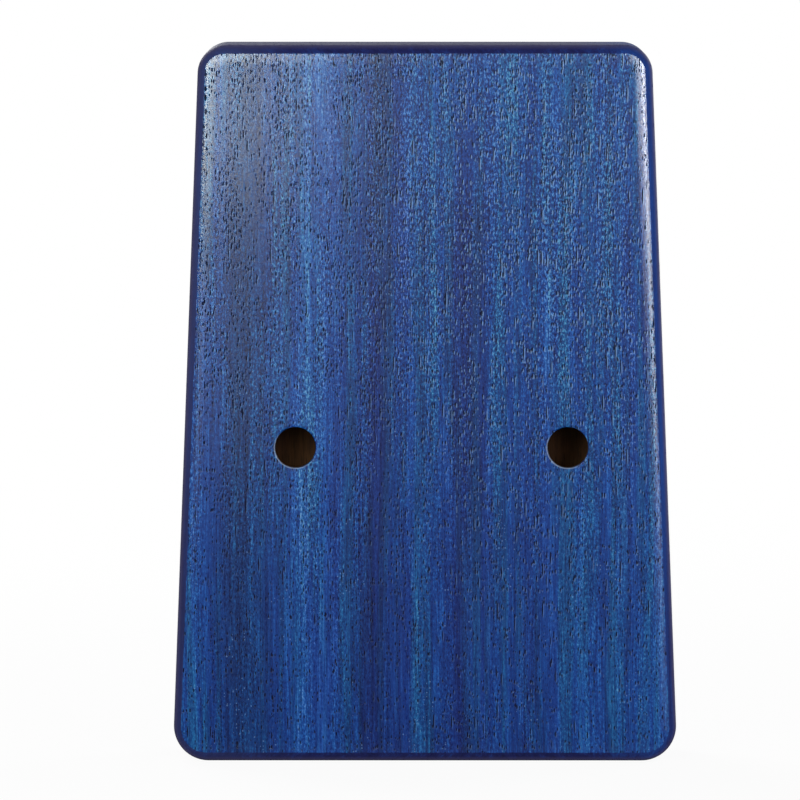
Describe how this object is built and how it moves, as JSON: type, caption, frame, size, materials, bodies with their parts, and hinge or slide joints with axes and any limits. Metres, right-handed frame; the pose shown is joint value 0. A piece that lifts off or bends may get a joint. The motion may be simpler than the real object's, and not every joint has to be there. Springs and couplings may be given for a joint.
{
  "type": "box kalimba",
  "caption": "Hollow wooden thumb piano, dyed blue: a tapered box with a sound hole, two finger holes in the back, and sprung steel tines clamped on a bridge to be plucked.",
  "frame": {"origin": "middle of the tail face (the wide end) that the box stands on, halfway between the back and the soundboard", "axes": "+Z from the tail up to the head, +Y from the back panel towards the tines, +X to the right when the back is seen"},
  "size_m": [0.1298, 0.0504, 0.185],
  "materials": {
    "blue_mahogany": "satin, dyed blue with open grain",
    "raw_mahogany": "bare",
    "bridge_wood": "satin, dark hardwood",
    "spring_steel": "satin, brushed lengthwise",
    "polished_steel": "polished",
    "screw_steel": "bright"
  },
  "bodies": {
    "box": {"back_panel": "blue_mahogany", "soundboard": "blue_mahogany", "left_side_rail": "blue_mahogany", "right_side_rail": "blue_mahogany", "head_rail": "blue_mahogany", "tail_rail": "blue_mahogany", "bridge_block": "raw_mahogany", "bridge": "bridge_wood", "front_saddle_rod": "polished_steel", "rear_saddle_rod": "polished_steel", "pressure_bar": "polished_steel", "bar_screws": "screw_steel"},
    "tine_c4": {"tine_c4": "spring_steel"},
    "tine_d4": {"tine_d4": "spring_steel"},
    "tine_e4": {"tine_e4": "spring_steel"},
    "tine_f4": {"tine_f4": "spring_steel"},
    "tine_g4": {"tine_g4": "spring_steel"},
    "tine_a4": {"tine_a4": "spring_steel"},
    "tine_b4": {"tine_b4": "spring_steel"},
    "tine_c5": {"tine_c5": "spring_steel"},
    "tine_d5": {"tine_d5": "spring_steel"},
    "tine_e5": {"tine_e5": "spring_steel"},
    "tine_f5": {"tine_f5": "spring_steel"},
    "tine_g5": {"tine_g5": "spring_steel"},
    "tine_a5": {"tine_a5": "spring_steel"},
    "tine_b5": {"tine_b5": "spring_steel"},
    "tine_c6": {"tine_c6": "spring_steel"},
    "tine_d6": {"tine_d6": "spring_steel"},
    "tine_e6": {"tine_e6": "spring_steel"}
  },
  "joints": [
    {"name": "pluck_c4", "type": "hinge", "parent": "box", "child": "tine_c4", "pos_m": [0, 0.024, 0.138], "axis": [1, 0, 0], "range_deg": [-2.5, 1.2], "stiffness_Nm_per_rad": 3.58},
    {"name": "pluck_d4", "type": "hinge", "parent": "box", "child": "tine_d4", "pos_m": [0.0063, 0.024, 0.138], "axis": [1, 0, 0], "range_deg": [-2.5, 1.2], "stiffness_Nm_per_rad": 3.8},
    {"name": "pluck_e4", "type": "hinge", "parent": "box", "child": "tine_e4", "pos_m": [-0.0063, 0.024, 0.138], "axis": [1, 0, 0], "range_deg": [-2.5, 1.2], "stiffness_Nm_per_rad": 4.02},
    {"name": "pluck_f4", "type": "hinge", "parent": "box", "child": "tine_f4", "pos_m": [0.0126, 0.024, 0.138], "axis": [1, 0, 0], "range_deg": [-2.5, 1.2], "stiffness_Nm_per_rad": 4.14},
    {"name": "pluck_g4", "type": "hinge", "parent": "box", "child": "tine_g4", "pos_m": [-0.0126, 0.024, 0.138], "axis": [1, 0, 0], "range_deg": [-2.5, 1.2], "stiffness_Nm_per_rad": 4.39},
    {"name": "pluck_a4", "type": "hinge", "parent": "box", "child": "tine_a4", "pos_m": [0.0189, 0.024, 0.138], "axis": [1, 0, 0], "range_deg": [-2.5, 1.2], "stiffness_Nm_per_rad": 4.65},
    {"name": "pluck_b4", "type": "hinge", "parent": "box", "child": "tine_b4", "pos_m": [-0.0189, 0.024, 0.138], "axis": [1, 0, 0], "range_deg": [-2.5, 1.2], "stiffness_Nm_per_rad": 4.92},
    {"name": "pluck_c5", "type": "hinge", "parent": "box", "child": "tine_c5", "pos_m": [0.0252, 0.024, 0.138], "axis": [1, 0, 0], "range_deg": [-2.5, 1.2], "stiffness_Nm_per_rad": 5.07},
    {"name": "pluck_d5", "type": "hinge", "parent": "box", "child": "tine_d5", "pos_m": [-0.0252, 0.024, 0.138], "axis": [1, 0, 0], "range_deg": [-2.5, 1.2], "stiffness_Nm_per_rad": 5.37},
    {"name": "pluck_e5", "type": "hinge", "parent": "box", "child": "tine_e5", "pos_m": [0.0315, 0.024, 0.138], "axis": [1, 0, 0], "range_deg": [-2.5, 1.2], "stiffness_Nm_per_rad": 5.69},
    {"name": "pluck_f5", "type": "hinge", "parent": "box", "child": "tine_f5", "pos_m": [-0.0315, 0.024, 0.138], "axis": [1, 0, 0], "range_deg": [-2.5, 1.2], "stiffness_Nm_per_rad": 5.85},
    {"name": "pluck_g5", "type": "hinge", "parent": "box", "child": "tine_g5", "pos_m": [0.0378, 0.024, 0.138], "axis": [1, 0, 0], "range_deg": [-2.5, 1.2], "stiffness_Nm_per_rad": 6.2},
    {"name": "pluck_a5", "type": "hinge", "parent": "box", "child": "tine_a5", "pos_m": [-0.0378, 0.024, 0.138], "axis": [1, 0, 0], "range_deg": [-2.5, 1.2], "stiffness_Nm_per_rad": 6.57},
    {"name": "pluck_b5", "type": "hinge", "parent": "box", "child": "tine_b5", "pos_m": [0.0441, 0.024, 0.138], "axis": [1, 0, 0], "range_deg": [-2.5, 1.2], "stiffness_Nm_per_rad": 6.96},
    {"name": "pluck_c6", "type": "hinge", "parent": "box", "child": "tine_c6", "pos_m": [-0.0441, 0.024, 0.138], "axis": [1, 0, 0], "range_deg": [-2.5, 1.2], "stiffness_Nm_per_rad": 7.16},
    {"name": "pluck_d6", "type": "hinge", "parent": "box", "child": "tine_d6", "pos_m": [0.0504, 0.024, 0.138], "axis": [1, 0, 0], "range_deg": [-2.5, 1.2], "stiffness_Nm_per_rad": 7.59},
    {"name": "pluck_e6", "type": "hinge", "parent": "box", "child": "tine_e6", "pos_m": [-0.0504, 0.024, 0.138], "axis": [1, 0, 0], "range_deg": [-2.5, 1.2], "stiffness_Nm_per_rad": 8.04}
  ]
}
